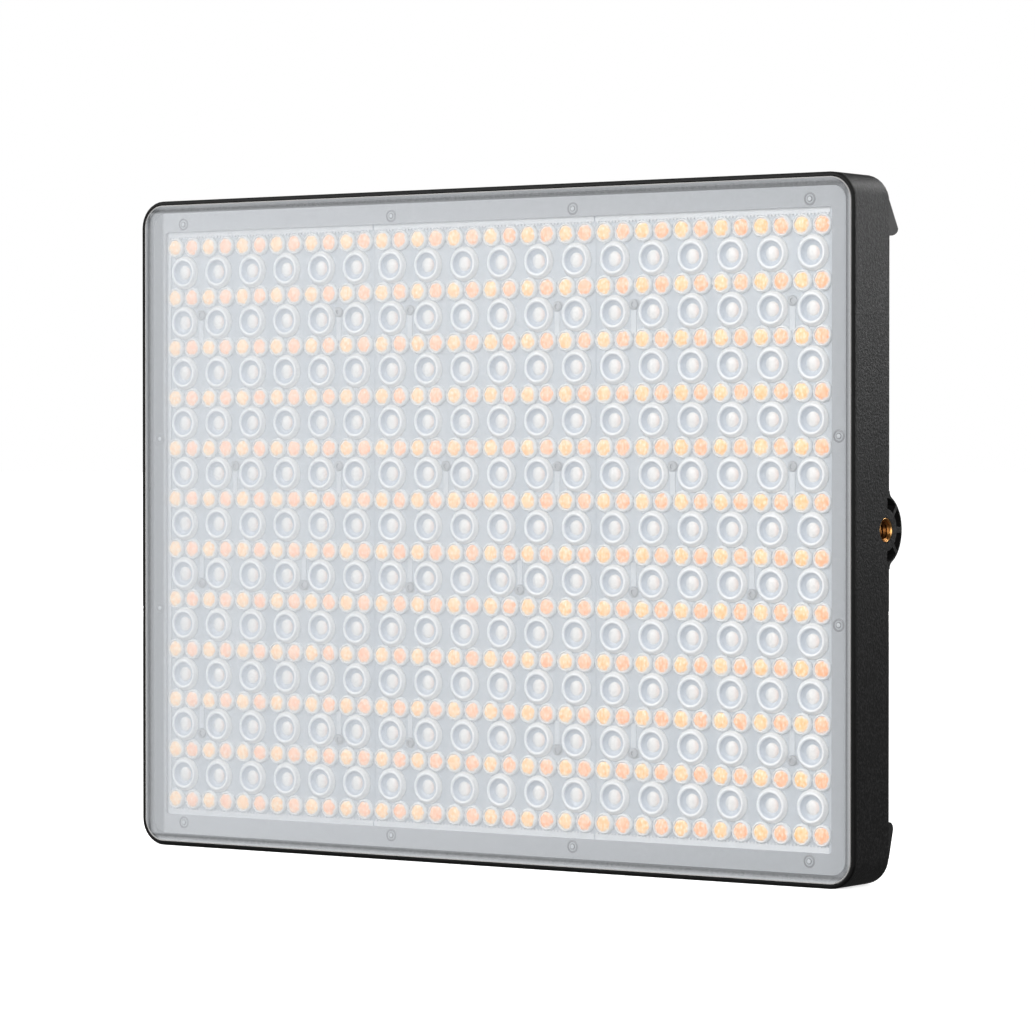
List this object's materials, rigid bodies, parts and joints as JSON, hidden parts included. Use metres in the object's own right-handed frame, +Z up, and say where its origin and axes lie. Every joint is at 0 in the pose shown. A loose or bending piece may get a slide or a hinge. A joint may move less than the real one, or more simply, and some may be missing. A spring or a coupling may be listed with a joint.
{
  "type": "led panel light",
  "caption": "Flat rectangular LED panel light with a frosted front, lens panels behind it, tripod-thread side bosses and a rear bay with knobs, display and battery plates.",
  "frame": {"origin": "centre of the bounding box's underside, where the panel stands on its bottom wall", "axes": "+X to the right seen from the front, +Y from the lit front to the back, +Z up; the light shines along -Y"},
  "size_m": [0.263, 0.0386, 0.205],
  "materials": {
    "shell_plastic": "fine matt grained black",
    "foot_plastic": "matt black",
    "diffuser": "frosted translucent",
    "gasket_foam": "black foam",
    "reflector_white": "satin white",
    "lens_clear": "clear moulded lenses",
    "led_board": "white solder mask on aluminium",
    "heat_sink_metal": "as extruded",
    "insert_brass": "machined",
    "screw_steel": "black oxide",
    "bezel_plastic": "satin black",
    "circuit_board": "green solder mask",
    "display_frame": "pressed steel frame",
    "display_glass": "smoked, glossy",
    "encoder_metal": "nickel plated",
    "rotor_plastic": "natural nylon",
    "knob_rubber": "knurled, soft touch",
    "button_rubber": "soft matt",
    "plate_plastic": "glass-filled nylon",
    "terminal_plating": "gold-plated blades",
    "latch_plastic": "smooth acetal",
    "spring_steel": "spring wire",
    "port_steel": "drawn steel shell",
    "wire_insulation": "silicone insulation"
  },
  "bodies": {
    "panel": {"housing": "shell_plastic", "rear_cover": "shell_plastic", "front_diffuser": "diffuser", "diffuser_gasket": "gasket_foam", "reflector_frame": "reflector_white", "lens_panel_left": "lens_clear", "lens_panel_centre": "lens_clear", "lens_panel_right": "lens_clear", "led_board_left": "led_board", "led_board_centre": "led_board", "led_board_right": "led_board", "heat_sink": "heat_sink_metal", "threaded_insert_left": "insert_brass", "threaded_insert_right": "insert_brass", "threaded_insert_bottom": "insert_brass", "corner_foot_top_left": "foot_plastic", "corner_foot_top_right": "foot_plastic", "corner_foot_bottom_left": "foot_plastic", "corner_foot_bottom_right": "foot_plastic", "case_screw_1": "screw_steel", "case_screw_2": "screw_steel", "case_screw_3": "screw_steel", "case_screw_4": "screw_steel", "case_screw_5": "screw_steel", "case_screw_6": "screw_steel", "case_screw_7": "screw_steel", "case_screw_8": "screw_steel", "control_bezel": "bezel_plastic", "control_board": "circuit_board", "display_module": "display_frame", "display_window": "display_glass", "intensity_encoder": "encoder_metal", "colour_encoder": "encoder_metal", "battery_plate_left": "plate_plastic", "battery_plate_right": "plate_plastic", "battery_terminal_left": "terminal_plating", "battery_terminal_right": "terminal_plating", "latch_spring_left": "spring_steel", "latch_spring_right": "spring_steel", "power_switch_housing": "plate_plastic", "dc_jack": "plate_plastic", "usb_c_port": "port_steel", "driver_board": "circuit_board", "led_harness": "wire_insulation", "battery_lead_left": "wire_insulation", "battery_lead_right": "wire_insulation"},
    "intensity_rotor": {"intensity_rotor": "rotor_plastic"},
    "intensity_knob": {"intensity_knob": "knob_rubber"},
    "colour_rotor": {"colour_rotor": "rotor_plastic"},
    "colour_knob": {"colour_knob": "knob_rubber"},
    "mode_button": {"mode_button": "button_rubber"},
    "effect_button": {"effect_button": "button_rubber"},
    "menu_button": {"menu_button": "button_rubber"},
    "back_button": {"back_button": "button_rubber"},
    "power_rocker": {"power_rocker": "latch_plastic"},
    "battery_latch_left": {"battery_latch_left": "latch_plastic"},
    "battery_latch_right": {"battery_latch_right": "latch_plastic"}
  },
  "joints": [
    {"name": "intensity_turn", "type": "hinge", "parent": "panel", "child": "intensity_rotor", "pos_m": [-0.058, 0.00515, 0.1565], "axis": [0, 1, 0], "continuous": true},
    {"name": "intensity_press", "type": "slide", "parent": "intensity_rotor", "child": "intensity_knob", "axis": [0, -1, 0], "range_m": [0, 0.0005], "stiffness_N_per_m": 800},
    {"name": "colour_turn", "type": "hinge", "parent": "panel", "child": "colour_rotor", "pos_m": [0.058, 0.00515, 0.1565], "axis": [0, 1, 0], "continuous": true},
    {"name": "colour_press", "type": "slide", "parent": "colour_rotor", "child": "colour_knob", "axis": [0, -1, 0], "range_m": [0, 0.0005], "stiffness_N_per_m": 800},
    {"name": "mode_button_press", "type": "slide", "parent": "panel", "child": "mode_button", "axis": [0, -1, 0], "range_m": [0, 0.00045], "stiffness_N_per_m": 800},
    {"name": "effect_button_press", "type": "slide", "parent": "panel", "child": "effect_button", "axis": [0, -1, 0], "range_m": [0, 0.00045], "stiffness_N_per_m": 800},
    {"name": "menu_button_press", "type": "slide", "parent": "panel", "child": "menu_button", "axis": [0, -1, 0], "range_m": [0, 0.00045], "stiffness_N_per_m": 800},
    {"name": "back_button_press", "type": "slide", "parent": "panel", "child": "back_button", "axis": [0, -1, 0], "range_m": [0, 0.00045], "stiffness_N_per_m": 800},
    {"name": "power_rock", "type": "hinge", "parent": "panel", "child": "power_rocker", "pos_m": [0, 0.00925, 0.1065], "axis": [0, 0, 1], "range_deg": [0, 16]},
    {"name": "latch_left_release", "type": "slide", "parent": "panel", "child": "battery_latch_left", "axis": [0, 0, -1], "range_m": [0, 0.003], "stiffness_N_per_m": 400, "springref_m": -0.002, "deforming": ["latch_spring_left"]},
    {"name": "latch_right_release", "type": "slide", "parent": "panel", "child": "battery_latch_right", "axis": [0, 0, -1], "range_m": [0, 0.003], "stiffness_N_per_m": 400, "springref_m": -0.002, "deforming": ["latch_spring_right"]}
  ]
}
